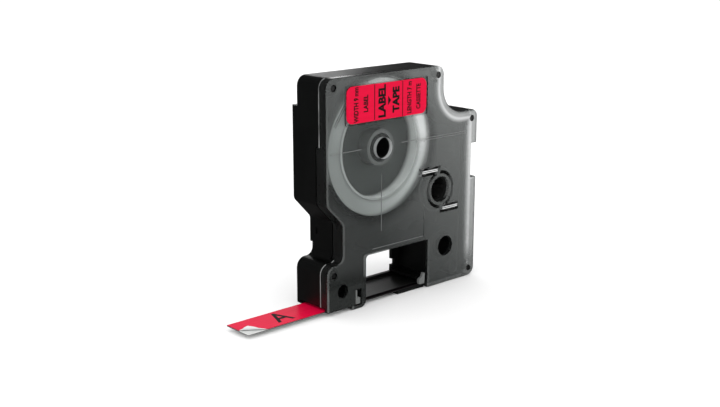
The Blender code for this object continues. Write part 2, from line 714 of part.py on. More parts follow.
def make_roller(name, centre, radius, y0, y1, color):
    """A plain roller with a bored middle and eased ends."""
    bore = PIN_RADIUS + 0.25 * MM
    ease = 0.2 * MM
    roller = turned(name, centre, [
        (bore, y0), (radius - ease, y0), (radius, y0 + ease),
        (radius, y1 - ease), (radius - ease, y1), (bore, y1),
    ], 28)
    return finish(roller, principled(name + "_plastic", color, 0.35))


# ---------------------------------------------------------------- ink ribbon

def make_ribbon_supply():
    bore = POST_RADIUS + GAP
    core_radius = bore + 0.65 * MM
    core = turned("ribbon_supply_core", SUPPLY, [
        (bore, PLATE + GAP), (core_radius, PLATE + GAP), (core_radius, RIBBON_BACK), (bore, RIBBON_BACK),
    ], 36)
    finish(core, principled("supply_core_grey", (0.22, 0.23, 0.23), 0.4))
    roll = turned("ribbon_supply_roll", SUPPLY, [
        (core_radius + 0.1 * MM, RIBBON_FRONT), (SUPPLY_RADIUS, RIBBON_FRONT),
        (SUPPLY_RADIUS, RIBBON_BACK), (core_radius + 0.1 * MM, RIBBON_BACK),
    ], 44)
    finish(roll, principled("ribbon_black_roll", (0.015, 0.015, 0.017), 0.25))


def make_brake_spring():
    """Wound wire behind the ribbon supply core."""
    turns = 2.2
    wire = 0.2 * MM
    coil = POST_RADIUS + 0.62 * MM
    y0 = RIBBON_BACK + 0.45 * MM
    rise = INNER_REAR - 0.35 * MM - y0
    count = round(turns * 20)
    curve = bpy.data.curves.new("ribbon_brake_spring", "CURVE")
    curve.dimensions = "3D"
    curve.bevel_depth = wire
    curve.bevel_resolution = 1
    curve.use_fill_caps = True
    spline = curve.splines.new("POLY")
    spline.points.add(count)
    for k in range(count + 1):
        angle = 2.0 * math.pi * turns * k / count
        spline.points[k].co = (
            SUPPLY[0] + coil * math.cos(angle), y0 + rise * k / count, SUPPLY[1] + coil * math.sin(angle), 1.0
        )
    spring = bpy.data.objects.new("ribbon_brake_spring", curve)
    bpy.context.collection.objects.link(spring)
    spring.parent = DATUM
    curve.materials.append(principled("spring_steel", (0.55, 0.55, 0.56), 0.25, metallic=1.0))


def make_ribbon_takeup():
    """The splined core that the printer's spindle turns, and the used ribbon on it."""
    body = 4.3 * MM
    bore = 3.4 * MM
    front = PLATE + 2 * GAP
    flange = front + 0.5 * MM
    core = turned("ribbon_takeup_core", TAKEUP, [
        (bore, front), (FLANGE_RADIUS, front), (FLANGE_RADIUS, flange),
        (body, flange), (body, INNER_REAR + 0.7 * MM), (bore, INNER_REAR + 0.7 * MM),
    ], 48)
    for k in range(6):
        angle = math.pi * k / 3.0
        tooth = block(f"spline_{k}", 2.75 * MM, 3.7 * MM, front + 0.6 * MM, INNER_REAR, -0.35 * MM, 0.35 * MM)
        tooth.parent = core
        tooth.rotation_euler = (0.0, angle, 0.0)
        add(core, tooth)
    finish(core, principled("takeup_core_black", (0.02, 0.02, 0.022), 0.35))
    roll = turned("ribbon_takeup_roll", TAKEUP, [
        (body + 0.2 * MM, flange + GAP), (TAKEUP_RADIUS, flange + GAP),
        (TAKEUP_RADIUS, RIBBON_BACK + 0.4 * MM), (body + 0.2 * MM, RIBBON_BACK + 0.4 * MM),
    ], 44)
    finish(roll, principled("ribbon_black_used", (0.02, 0.02, 0.022), 0.3))


def make_ribbon_strand():
    clear = GAP + RIBBON_THICKNESS / 2.0
    pin = STEEL_PIN_RADIUS + clear
    supply = (SUPPLY, SUPPLY_RADIUS + clear, -1)
    takeup = (TAKEUP, TAKEUP_RADIUS + clear, 1)
    stations = [
        supply, (ENTRY_PIN, pin, -1), (PEEL_PIN, pin, -1),
        (RETURN_ROLLER, RETURN_RADIUS + clear, -1), takeup,
    ]
    path = belt(stations)
    last = Vector(path[-1]) - Vector(path[-2])
    path += wound_end(TAKEUP, takeup[1], 1, math.atan2(last.y, last.x), math.radians(70.0))
    front = PLATE + 2 * GAP + 0.5 * MM + GAP
    strand = film("ribbon_strand", path, RIBBON_THICKNESS, RIBBON_FRONT, RIBBON_BACK)
    cut(strand, block("flange_clearance", TAKEUP[0] - 7.6 * MM, FAR, 0.0, front,
                      TAKEUP[1] - 7.4 * MM, FAR))
    return finish(strand, principled("ribbon_black", (0.02, 0.02, 0.022), 0.3))


def make_steel_pins():
    for name, centre in (("ribbon_entry_pin", ENTRY_PIN), ("ribbon_peel_pin", PEEL_PIN)):
        pin = rod(name, centre, STEEL_PIN_RADIUS, PLATE + GAP, RIBBON_BACK + 0.15 * MM, 20)
        finish(pin, principled(name + "_steel", (0.62, 0.62, 0.63), 0.2, metallic=1.0))


def make_clips():
    """Two small pale clips that guide the film's front edge beside the window and at the exit."""
    pale = principled("clip_pale", (0.62, 0.64, 0.63), 0.3)
    window_clip = prism("window_guide_clip", rounded([
        (35.2 * MM, 0.1 * MM, 0.5 * MM), (37.5 * MM, 0.1 * MM, 0.3 * MM), (37.6 * MM, 3.3 * MM, 0.3 * MM),
        (36.7 * MM, 3.3 * MM, 0.3 * MM), (36.5 * MM, 2.2 * MM, 0.4 * MM), (35.2 * MM, 1.7 * MM, 0.6 * MM),
    ]), 0.3 * MM, 1.05 * MM)
    finish(window_clip, pale)
    exit_clip = prism("exit_guide_clip", rounded([
        (10.4 * MM, -0.1 * MM, 0.1 * MM), (12.1 * MM, -0.1 * MM, 0.3 * MM), (12.1 * MM, 1.9 * MM, 0.4 * MM),
        (10.95 * MM, 1.7 * MM, 0.1 * MM), (10.95 * MM, 4.0 * MM, 0.1 * MM), (10.4 * MM, 4.0 * MM, 0.1 * MM),
    ]), 0.25 * MM, 1.05 * MM)
    finish(exit_clip, principled("exit_clip_pale", (0.62, 0.64, 0.63), 0.3))


for existing in list(bpy.data.objects):
    bpy.data.objects.remove(existing, do_unlink=True)

DATUM = bpy.data.objects.new("datum", None)
DATUM.location = (-(TAIL_END + CASE_WIDTH) / 2.0, -CASE_DEPTH / 2.0, -CASE_FOOT)
bpy.context.collection.objects.link(DATUM)

make_rear_case()
make_front_cover()
make_front_label()
make_label_tape()
make_tape_liner()
make_tape_supply_strand()
make_tape_spool()
make_roller("upper_guide_roller", UPPER_ROLLER, TAPE_ROLLER_RADIUS, TAPE_FRONT, TAPE_BACK, (0.5, 0.5, 0.5))
make_roller("lower_guide_roller", LOWER_ROLLER, TAPE_ROLLER_RADIUS, TAPE_FRONT, TAPE_BACK, (0.5, 0.5, 0.5))
make_ribbon_supply()
make_brake_spring()
make_ribbon_takeup()
make_ribbon_strand()
make_steel_pins()
make_roller("ribbon_return_roller", RETURN_ROLLER, RETURN_RADIUS, RIBBON_FRONT, RIBBON_BACK, (0.4, 0.4, 0.4))
make_clips()
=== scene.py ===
"""Looks of the 9 mm label tape cassette: materials, printing, small moulded detail, light and camera."""

import math

import bmesh
import bpy
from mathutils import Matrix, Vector


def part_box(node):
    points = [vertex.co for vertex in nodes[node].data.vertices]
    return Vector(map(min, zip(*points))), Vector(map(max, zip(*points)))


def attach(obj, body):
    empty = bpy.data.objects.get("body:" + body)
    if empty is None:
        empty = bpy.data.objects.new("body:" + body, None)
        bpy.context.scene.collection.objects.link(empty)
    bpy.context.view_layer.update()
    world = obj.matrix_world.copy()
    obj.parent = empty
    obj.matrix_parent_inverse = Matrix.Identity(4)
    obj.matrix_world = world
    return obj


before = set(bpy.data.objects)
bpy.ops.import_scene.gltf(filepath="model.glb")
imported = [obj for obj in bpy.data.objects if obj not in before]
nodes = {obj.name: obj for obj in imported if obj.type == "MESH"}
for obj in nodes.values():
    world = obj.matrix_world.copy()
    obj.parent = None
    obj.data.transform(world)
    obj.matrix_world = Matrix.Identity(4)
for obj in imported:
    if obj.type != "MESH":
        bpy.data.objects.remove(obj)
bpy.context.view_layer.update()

MM = 0.001
# The drawing frame, in millimetres: X right from the case's left face, Y back from the cover's face and
# Z up from the tape's top face, so that the foot it stands on is below zero.
CASE_FOOT = -1.5
case_low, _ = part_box("rear_case")
cover_low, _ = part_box("front_cover")
DATUM = Vector((case_low[0] / MM, cover_low[1] / MM, case_low[2] / MM - CASE_FOOT))

LABEL_FACE_Y = 0.02
INK = 0.012
INK_LIFT = 0.001
# Centres of the round parts, as (X, Z) in the drawing frame.
HUB = (20.75, 42.7)
RIBBON_SUPPLY = (45.7, 10.0)
RIBBON_TAKEUP = (43.2, 27.5)
TAKEUP_FLANGE = 6.8
# The case's width and its round shoulder.
CASE_WIDTH = 58.66
SHOULDER_CENTRE = (51.9, 57.1)
SHOULDER_RADIUS = 7.7


def at(x, y, z):
    """A drawing point in millimetres as a scene point in metres."""
    return (Vector((x, y, z)) + DATUM) * MM


# ---------------------------------------------------------------- materials

# The middle stretch of a noise's values, over which colours change.
SOFT = (0.3, 0.7)


class Shader:
    """A material's node tree, with short ways to add to it."""

    def __init__(self, name):
        self.material = bpy.data.materials.new(name)
        self.material.use_nodes = True
        self.tree = self.material.node_tree
        self.tree.nodes.clear()
        self.output = self.node("ShaderNodeOutputMaterial")
        self.coords = self.node("ShaderNodeTexCoord").outputs["Object"]

    def node(self, kind, **settings):
        made = self.tree.nodes.new(kind)
        for key, value in settings.items():
            setattr(made, key, value)
        return made

    def link(self, source, target):
        self.tree.links.new(source, target)

    def put(self, socket, value):
        """Sets a socket to a number or colour, or links it to another node's output."""
        if isinstance(value, bpy.types.NodeSocket):
            self.link(value, socket)
        elif isinstance(value, tuple) and len(value) == 3 and socket.type == "RGBA":
            socket.default_value = (*value, 1.0)
        else:
            socket.default_value = value

    def maths(self, operation, a, b=0.0, clamp=False):
        made = self.node("ShaderNodeMath", operation=operation, use_clamp=clamp)
        self.put(made.inputs[0], a)
        self.put(made.inputs[1], b)
        return made.outputs[0]

    def times(self, first, *others):
        """The product of two or more values."""
        product = first
        for factor in others:
            product = self.maths("MULTIPLY", product, factor)
        return product

    def largest(self, first, *others):
        most = first
        for value in others:
            most = self.maths("MAXIMUM", most, value)
        return most

    def facing(self):
        """The surface's own normal, as its X, Y and Z parts."""
        return self.axes(self.node("ShaderNodeNewGeometry").outputs["True Normal"])

    def drawing(self):
        """X, Y and Z in the drawing's millimetres."""
        scaled = self.node("ShaderNodeMapping")
        scaled.inputs["Scale"].default_value = (1.0 / MM, 1.0 / MM, 1.0 / MM)
        scaled.inputs["Location"].default_value = -DATUM
        self.link(self.coords, scaled.inputs[0])
        return self.axes(scaled.outputs[0])

    def distance(self, x, z, centre):
        """Distance from a line along Y, in millimetres."""
        return self.length(self.maths("SUBTRACT", x, centre[0]), self.maths("SUBTRACT", z, centre[1]))

    def length(self, across, along):
        squares = self.maths("ADD", self.times(across, across), self.times(along, along))
        return self.maths("SQRT", squares)

    def axes(self, vector=None):
        split = self.node("ShaderNodeSeparateXYZ")
        self.link(vector or self.coords, split.inputs[0])
        return split.outputs[0], split.outputs[1], split.outputs[2]

    def noise(self, size, detail=2.0, stretch=(1.0, 1.0, 1.0)):
        """Noise whose features are about this many millimetres across."""
        scaled = self.node("ShaderNodeMapping")
        scaled.inputs["Scale"].default_value = stretch
        self.link(self.coords, scaled.inputs[0])
        made = self.node("ShaderNodeTexNoise")
        made.inputs["Scale"].default_value = 1.0 / (size * MM)
        made.inputs["Detail"].default_value = detail
        self.link(scaled.outputs[0], made.inputs["Vector"])
        return made.outputs["Fac"]

    def ramp(self, value, low, high, from_low=0.0, from_high=1.0, smooth=False):
        made = self.node("ShaderNodeMapRange", interpolation_type="SMOOTHSTEP" if smooth else "LINEAR")
        self.put(made.inputs["Value"], value)
        made.inputs["From Min"].default_value = from_low
        made.inputs["From Max"].default_value = from_high
        made.inputs["To Min"].default_value = low
        made.inputs["To Max"].default_value = high
        return made.outputs[0]

    def clouded(self, value, first, second):
        """A soft change between two colours along a noise."""
        return self.blend(self.ramp(value, 0.0, 1.0, *SOFT), first, second)

    def blend(self, factor, first, second):
        made = self.node("ShaderNodeMix", data_type="RGBA")
        self.put(made.inputs[0], factor)
        self.put(made.inputs[6], first)
        self.put(made.inputs[7], second)
        return made.outputs[2]

    def bump(self, height, distance, strength=1.0):
        made = self.node("ShaderNodeBump")
        made.inputs["Distance"].default_value = distance * MM
        made.inputs["Strength"].default_value = strength
        self.link(height, made.inputs["Height"])
        return made.outputs["Normal"]

    def principled(self, colour, roughness, normal=None, **sockets):
        made = self.node("ShaderNodeBsdfPrincipled")
        self.put(made.inputs["Base Color"], colour)
        self.put(made.inputs["Roughness"], roughness)
        if normal is not None:
            self.link(normal, made.inputs["Normal"])
        for key, value in sockets.items():
            self.put(made.inputs[key.replace("_", " ")], value)
        return made.outputs[0]

    def finish(self, shader):
        self.link(shader, self.output.inputs["Surface"])
        return self.material


# The cover's haze with a painted sheen over it, from its darkest at the lower left to its palest at the upper
# right.
HAZE_SHEEN_DARK = (0.038, 0.041, 0.040)
HAZE_SHEEN_MIDDLE = (0.086, 0.091, 0.089)
HAZE_SHEEN_PALE = (0.138, 0.145, 0.142)
# The width and height over which it grows.
HAZE_SHEEN_SPAN = (58.0, 63.0)
# Painted highlight for the band inside the rim (also over the reel and in the holes), painted shade for the
# block beside the window, a painted highlight for the eased left edges, and the other cut edges, dark from
# the smoke tint seen through their depth together with painted shade.
PAINTED_HIGHLIGHT = (0.62, 0.63, 0.63)
PAINTED_SHADE_LOW = (0.018, 0.020, 0.019)
EDGE_HIGHLIGHT = (0.10, 0.105, 0.103)
CUT_DARK = (0.006, 0.0065, 0.0063)
CLEAR_TINT = (0.95, 0.965, 0.96, 1.0)
# Middle of the ring of painted light over the wound tape, a little left of the hub to allow for the depth
# between.
REEL_LIGHT_CENTRE = (19.3, 42.9)
# The wound tape's painted shade and its painted lit side, and the X from which the case's inside darkens tape
# and liner with painted shade.
ROLL_SHADE = (0.03, 0.031, 0.0305)
ROLL_LIT = (0.80, 0.81, 0.805)
SHADE_CENTRE = (18.7, 43.2)
FILM_SHADE_FROM = 12.5


def moulded(name, colour, lighter, roughness, grain=0.12, relief=0.004, speckle=0.05, **sockets):
    """Injection-moulded plastic: a fine spark-eroded grain, soft cloudy colour and uneven gloss."""
    s = Shader(name)
    cloud = s.noise(9.0, 3.0)
    tone = s.blend(s.ramp(cloud, 0.0, 1.0, 0.35, 0.7), colour, lighter)
    speck = s.noise(grain, 3.0)
    uneven = s.ramp(cloud, roughness - 0.05, roughness + 0.06)
    rough = s.maths("ADD", uneven, s.ramp(speck, -speckle, speckle))
    return s.finish(s.principled(tone, rough, s.bump(speck, relief), **sockets))


def black_plastic():
    """The case: black, with a fine grain, and a painted highlight as a thin pale line where its left edges
    meet the cover.
    """
    s = Shader("black_case")
    nx, ny, _ = s.facing()
    cloud = s.noise(9.0, 3.0)
    speck = s.noise(0.12, 3.0)
    black = s.blend(s.ramp(cloud, 0.0, 1.0, 0.35, 0.7), (0.0016, 0.0020, 0.0019), (0.0028, 0.0033, 0.0031))
    # Painted highlight: a pale line on the eased faces turned to the front left.
    leftward = s.maths("LESS_THAN", nx, -0.2)
    bevel_highlight = s.times(leftward, s.maths("LESS_THAN", ny, -0.3), s.maths("GREATER_THAN", ny, -0.95))
    patchy = s.ramp(s.noise(7.0, 2.0), 0.25, 1.0, 0.4, 0.65)
    tone = s.blend(s.times(bevel_highlight, patchy), black, (0.34, 0.35, 0.35))
    rough = s.maths("ADD", s.ramp(cloud, 0.33, 0.44), s.ramp(speck, -0.05, 0.05))
    return s.finish(s.principled(tone, rough, s.bump(speck, 0.003), Specular_IOR_Level=0.4))


def rim_distance(s, x, z):
    """Distance in from the cover's right edge, and from its round shoulder where it counts for more."""
    beside = s.maths("MAXIMUM", s.maths("SUBTRACT", SHOULDER_CENTRE[0], x), 0.0)
    below = s.maths("MAXIMUM", s.maths("SUBTRACT", SHOULDER_CENTRE[1], z), 0.0)
    shoulder = s.times(s.maths("SUBTRACT", s.length(beside, below), SHOULDER_RADIUS), 1.5)
    return s.maths("MINIMUM", s.maths("SUBTRACT", CASE_WIDTH, x), shoulder)


def rim_highlight_band(s, rim, z):
    """The painted highlight in a band inside the rim: it climbs in two steps, falls off slowly and fades
    towards the foot.
    """
    climb = s.maths("ADD", s.ramp(rim, 0.0, 0.6, 0.1, 1.5), s.ramp(rim, 0.0, 0.4, 2.1, 2.9, True))
    return s.times(climb, s.ramp(rim, 1.0, 0.0, 3.2, 5.2, True), s.ramp(z, 0.15, 1.0, 2.0, 9.0, True))


def reel_painted_light(s, x, z, reel):
    """Painted light in a ring over the wound tape, strongest towards the upper right."""
    ring = s.times(s.ramp(reel, 0.0, 1.0, 13.4, 15.6, True), s.ramp(reel, 1.0, 0.0, 17.0, 20.5, True))
    return s.times(ring, s.ramp(s.maths("ADD", s.times(x, 0.8), z), 0.0, 1.0, 56.0, 74.0))


def lower_left(s, x, z, tops, rights):
    """One at the block beside the window, falling to zero between these heights and these widths."""
    return s.times(s.ramp(z, 1.0, 0.0, *tops, True), s.ramp(x, 1.0, 0.0, *rights, True))


def cut_faces(s, x, y, z, nx, ny):
    """The cover's edges and its holes' walls: (dark ones, from the smoke tint and painted shade; pale ones, a
    painted highlight).
    """
    edge = s.maths("LESS_THAN", s.maths("ABSOLUTE", ny), 0.6)
    not_right = s.maths("SUBTRACT", 1.0, s.maths("GREATER_THAN", nx, 0.5))
    near_front = s.ramp(y, 1.0, 0.0, 1.1, 1.9)
    near_ring = s.maths("LESS_THAN", s.distance(x, z, RIBBON_TAKEUP), 9.5)
    in_hole = s.largest(
        s.maths("LESS_THAN", s.distance(x, z, HUB), 3.3),
        s.times(near_ring, s.ramp(nx, 0.5, 0.0, -0.9, -0.5)),
    )
    dark = s.times(edge, s.largest(not_right, near_front), s.maths("SUBTRACT", 1.0, in_hole))
    return dark, s.times(edge, in_hole)


def turned_left(s, nx, ny):
    """The small eased faces between the cover's front and its left-hand edges."""
    tilt = s.maths("ABSOLUTE", ny)
    eased = s.times(s.maths("GREATER_THAN", tilt, 0.25), s.maths("LESS_THAN", tilt, 0.97))
    return s.times(eased, s.maths("LESS_THAN", nx, -0.2))


def smoky_plastic():
    """Smoke-tinted cover: clearest over the reel, with a painted sheen growing towards its upper right,
    painted highlights and shade, and a soft gloss.
    """
    s = Shader("smoky_cover")
    nx, ny, _ = s.facing()
    x, y, z = s.drawing()
    dark_edge, hole_highlight = cut_faces(s, x, y, z, nx, ny)
    eased_highlight = turned_left(s, nx, ny)
    cloud = s.noise(14.0, 3.0)
    flow = s.noise(5.0, 2.0, (1.0, 1.0, 0.35))
    speck = s.noise(1.6, 1.0)
    rim = rim_distance(s, x, z)
    highlight_band = rim_highlight_band(s, rim, z)
    reel = s.distance(x, z, REEL_LIGHT_CENTRE)
    reel_light = reel_painted_light(s, x, z, reel)

    # Painted sheen: the haze is made paler towards the upper right and darker towards the lower left.
    rise = s.maths("ADD", s.times(x, 0.5 / HAZE_SHEEN_SPAN[0]), s.times(z, 0.5 / HAZE_SHEEN_SPAN[1]))
    level = s.maths("ADD", rise, s.ramp(cloud, -0.02, 0.02, *SOFT))
    low = s.blend(s.ramp(level, 0.0, 1.0, 0.3, 0.52), HAZE_SHEEN_DARK, HAZE_SHEEN_MIDDLE)
    haze = s.blend(s.ramp(level, 0.0, 1.0, 0.52, 0.8), low, HAZE_SHEEN_PALE)
    # Painted shade at the block beside the window.
    haze = s.blend(lower_left(s, x, z, (7.0, 12.0), (13.0, 18.0)), haze, PAINTED_SHADE_LOW)
    # Painted highlight in the band inside the rim.
    haze = s.blend(s.times(highlight_band, s.ramp(rise, 0.3, 0.85, 0.35, 0.8)), haze, PAINTED_HIGHLIGHT)
    haze = s.blend(s.times(s.ramp(rim, 1.0, 0.0, 0.2, 0.8, True), 0.85), haze, HAZE_SHEEN_DARK)
    # Painted light over the wound tape, strongest at its upper right.
    haze = s.blend(reel_light, haze, PAINTED_HIGHLIGHT)
    # Painted highlight on the eased left edges.
    haze = s.blend(eased_highlight, haze, EDGE_HIGHLIGHT)
    # Painted highlight on the holes' walls.
    haze = s.blend(hole_highlight, haze, PAINTED_HIGHLIGHT)
    # Dark cut edges: the smoke tint seen through their depth, with painted shade.
    haze = s.blend(dark_edge, haze, CUT_DARK)

    gloss = s.maths("ADD", s.ramp(flow, 0.24, 0.32), s.ramp(speck, -0.01, 0.01))
    skin = s.principled(haze, gloss, s.bump(speck, 0.0005), Specular_IOR_Level=0.5)
    clear = s.node("ShaderNodeBsdfTransparent")
    clear.inputs["Color"].default_value = CLEAR_TINT
    wavering = s.maths("ADD", reel, s.ramp(cloud, -0.5, 0.5, *SOFT))
    cover = s.largest(
        s.ramp(wavering, 0.13, 0.6, 18.5, 22.5),
        s.times(reel_light, 0.42),
        s.times(dark_edge, 0.85),
        s.times(eased_highlight, 0.6),
        s.times(hole_highlight, 0.7),
        s.times(lower_left(s, x, z, (5.0, 9.0), (12.0, 15.0)), 0.9),
        s.times(highlight_band, 0.75),
    )
    mix = s.node("ShaderNodeMixShader")
    s.put(mix.inputs[0], cover)
    s.link(clear.outputs[0], mix.inputs[1])
    s.link(skin, mix.inputs[2])
    return s.finish(mix.outputs[0])


def printed_red(name, red, deep, roughness):
    """Red film's shader, colour, roughness and normal: smooth, with faint lengthwise coating streaks."""
    s = Shader(name)
    streak = s.noise(0.8, 3.0, (0.08, 1.0, 1.0))
    speck = s.noise(0.15, 2.0)
    tone = s.clouded(streak, red, deep)
    rough = s.maths("ADD", s.ramp(streak, roughness - 0.05, roughness + 0.05), s.ramp(speck, -0.03, 0.03))
    return s, tone, rough, s.bump(speck, 0.002)


def label_material():
    """The stuck-on label: matt red."""
    s, tone, rough, normal = printed_red("label_red", (0.54, 0.0024, 0.032), (0.50, 0.0022, 0.028), 0.5)
    return s.finish(s.principled(tone, rough, normal, Specular_IOR_Level=0.03))


def tape_material():
    """The label tape: red face, white gummed back, painted shade on its cut edges, and painted shade where it
    runs under the ribbon.
    """
    s, tone, rough, normal = printed_red("tape_red", (0.62, 0.0018, 0.040), (0.56, 0.0016, 0.034), 0.45)
    nx, ny, nz = s.facing()
    x, _, z = s.drawing()
    towards_corner = s.maths("ADD", s.times(nx, -0.707), s.times(ny, -0.707))
    peeled = s.times(s.maths("GREATER_THAN", towards_corner, 0.05), s.maths("GREATER_THAN", z, 0.02))
    white = s.largest(peeled, s.maths("LESS_THAN", nz, -0.5))
    # Painted shade on the cut edges.
    upright = s.maths("LESS_THAN", s.maths("ABSOLUTE", nz), 0.3)
    shaded_cut_edge = s.times(upright, s.maths("LESS_THAN", z, 0.02))
    tone = s.blend(s.times(shaded_cut_edge, 0.75), tone, (0.10, 0.0008, 0.008))
    # Painted shade where the tape runs inside the case, under the ribbon.
    tone = s.blend(s.ramp(x, 0.0, 1.0, FILM_SHADE_FROM - 0.5, FILM_SHADE_FROM), tone, (0.006, 0.004, 0.005))
    tone = s.blend(white, tone, (0.58, 0.59, 0.59))
    return s.finish(s.principled(tone, rough, normal, Specular_IOR_Level=0.08))


def liner_material():
    """The backing paper: white, with painted shade on its grey cut edges, and painted dark where it lies in
    the case's shade.
    """
    s = Shader("liner_white")
    _, _, nz = s.facing()
    x, _, _ = s.drawing()
    fibre = s.noise(0.5, 4.0, (0.3, 1.0, 1.0))
    tone = s.clouded(fibre, (0.56, 0.57, 0.56), (0.50, 0.51, 0.50))
    # Painted shade on the cut edges.
    tone = s.blend(s.maths("LESS_THAN", s.maths("ABSOLUTE", nz), 0.5), tone, (0.05, 0.05, 0.05))
    # Painted shade where the liner lies inside the case.
    tone = s.blend(s.ramp(x, 0.0, 1.0, FILM_SHADE_FROM - 0.5, FILM_SHADE_FROM), tone, (0.008, 0.008, 0.008))
    return s.finish(s.principled(tone, s.ramp(fibre, 0.52, 0.68), s.bump(fibre, 0.004)))


def paper(name, colour, darker):
    """Paper: fibres along its length."""
    s = Shader(name)
    fibre = s.noise(0.5, 4.0, (0.3, 1.0, 1.0))
    tone = s.clouded(fibre, colour, darker)
    return s.finish(s.principled(tone, s.ramp(fibre, 0.52, 0.68), s.bump(fibre, 0.004)))


def wound(name, centre, colour, darker, pitch, roughness, shade=False):
    """The edge of a wound strip: thin rings about its axis, and for the tape a painted light on its upper
    right side and a soft painted shade at its edges.
    """
    s = Shader(name)
    x, _, z = s.drawing()
    radius = s.distance(x, z, centre)
    rings = s.node("ShaderNodeTexNoise", noise_dimensions="1D")
    rings.inputs["Scale"].default_value = 1.0 / pitch
    rings.inputs["Detail"].default_value = 3.0
    s.link(radius, rings.inputs["W"])
    turn = rings.outputs["Fac"]
    cloud = s.noise(6.0, 2.0)
    level = s.maths("ADD", s.ramp(turn, 0.0, 0.7, *SOFT), s.ramp(cloud, 0.0, 0.3, *SOFT), clamp=True)
    tone = s.blend(level, colour, darker)
    if shade:
        # Painted light: the tape's side grows paler towards the upper right.
        upper_right = s.maths("ADD", x, s.times(z, 0.5))
        tone = s.blend(s.ramp(upper_right, 0.0, 1.0, 26.0, 72.0), tone, ROLL_LIT)
        # Painted shade at the outer and inner edges of the wound tape.
        outer = s.ramp(s.distance(x, z, SHADE_CENTRE), 0.0, 0.8, 18.2, 20.4, True)
        inner = s.ramp(radius, 0.4, 0.0, 14.6, 16.0, True)
        tone = s.blend(s.largest(outer, inner), tone, ROLL_SHADE)
    rough = s.ramp(turn, roughness - 0.08, roughness + 0.08)
    return s.finish(s.principled(tone, rough, s.bump(turn, 0.02)))


def core_material():
    """The tape's core: its rim's inner wall is pale, its sideways faces paler still as a painted highlight,
    and its web dark, a little greyer round the hub.
    """
    s = Shader("core_grey")
    x, y, z = s.drawing()
    radius = s.distance(x, z, HUB)
    cloud = s.noise(7.0, 3.0)
    speck = s.noise(0.15, 3.0)
    _, ny, _ = s.facing()
    wall = s.times(s.ramp(radius, 0.0, 1.0, 13.0, 13.9, True), s.ramp(y, 1.0, 0.3, 3.4, 5.2, True))
    # Painted highlight: the wall's sideways faces are made paler than those facing the front.
    pale = s.times(wall, s.ramp(cloud, 0.85, 1.0, 0.35, 0.7), s.ramp(ny, 0.4, 1.0, -0.9, -0.3))
    halo = s.ramp(radius, 0.12, 0.0, 4.0, 7.0, True)
    tone = s.blend(s.largest(pale, halo), (0.030, 0.031, 0.0305), (0.98, 0.99, 0.985))
    return s.finish(s.principled(tone, s.ramp(cloud, 0.4, 0.5), s.bump(speck, 0.001), Specular_IOR_Level=0.2))


def takeup_material():
    """The take-up core: black, with a painted highlight as a paler rim to its flange."""
    s = Shader("takeup_black")
    x, _, z = s.drawing()
    cloud = s.noise(5.0, 3.0)
    speck = s.noise(0.15, 3.0)
    radius = s.distance(x, z, RIBBON_TAKEUP)
    # Painted highlight on the flange's rim.
    rim = s.ramp(radius, 0.0, 0.5, TAKEUP_FLANGE - 0.5, TAKEUP_FLANGE - 0.2, True)
    tone = s.blend(s.maths("ADD", rim, s.ramp(cloud, 0.0, 0.02)), (0.003, 0.0033, 0.0032), (0.5, 0.5, 0.5))
    rough = s.ramp(cloud, 0.35, 0.45)
    return s.finish(s.principled(tone, rough, s.bump(speck, 0.001), Specular_IOR_Level=0.2))


def ribbon_material():
    """Ink ribbon: glossy black film with lengthwise streaks, greyer across the window's left half with
    painted light, fading to painted shade on the right.
    """
    s = Shader("ribbon_film")
    x, _, _ = s.drawing()
    streak = s.noise(0.6, 3.0, (0.06, 1.0, 1.0))
    # Painted light on the left of the window, fading to painted shade on the right.
    tone = s.blend(s.ramp(x, 0.0, 1.0, 15.0, 34.0, True), (0.050, 0.052, 0.051), (0.004, 0.004, 0.004))
    tone = s.blend(s.ramp(streak, 0.0, 0.35, *SOFT), tone, (0.01, 0.01, 0.01))
    rough = s.ramp(streak, 0.3, 0.42)
    return s.finish(s.principled(tone, rough, s.bump(streak, 0.001), Specular_IOR_Level=0.3))


def metal(name, colour, roughness):
    """Drawn steel with fine lines along its length."""
    s = Shader(name)
    lines = s.noise(0.12, 3.0, (1.0, 0.1, 1.0))
    tone = s.clouded(lines, colour, tuple(part * 0.8 for part in colour))
    rough = s.ramp(lines, roughness - 0.06, roughness + 0.1)
    return s.finish(s.principled(tone, rough, s.bump(lines, 0.002), Metallic=1.0))


def ink_material():
    """Black ink: matt, with a fine unevenness."""
    s = Shader("print_ink")
    speck = s.noise(0.2, 3.0)
    tone = s.clouded(speck, (0.003, 0.0025, 0.003), (0.006, 0.005, 0.0055))
    rough = s.ramp(speck, 0.40, 0.52)
    return s.finish(s.principled(tone, rough, s.bump(speck, 0.002), Specular_IOR_Level=0.05))


slip_film = moulded(
    "slip_film", (0.070, 0.073, 0.072), (0.078, 0.081, 0.080), 0.65, grain=4.0, relief=0.0001, speckle=0.002,
    Specular_IOR_Level=0.05,
)
roller_grey = moulded("roller_grey", (0.075, 0.078, 0.077), (0.105, 0.108, 0.107), 0.4)
ribbon_core_grey = moulded("ribbon_core_grey", (0.12, 0.124, 0.122), (0.15, 0.154, 0.152), 0.4)
clip_pale = moulded("clip_pale", (0.095, 0.10, 0.098), (0.13, 0.135, 0.133), 0.3)
roll_pale = wound("roll_pale", HUB, (0.30, 0.31, 0.306), (0.265, 0.275, 0.271), 0.35, 0.55, shade=True)
ribbon_black = wound("ribbon_black", RIBBON_SUPPLY, (0.015, 0.015, 0.015), (0.036, 0.036, 0.036), 0.2, 0.35)
pin_steel = metal("pin_steel", (0.6, 0.6, 0.59), 0.22)

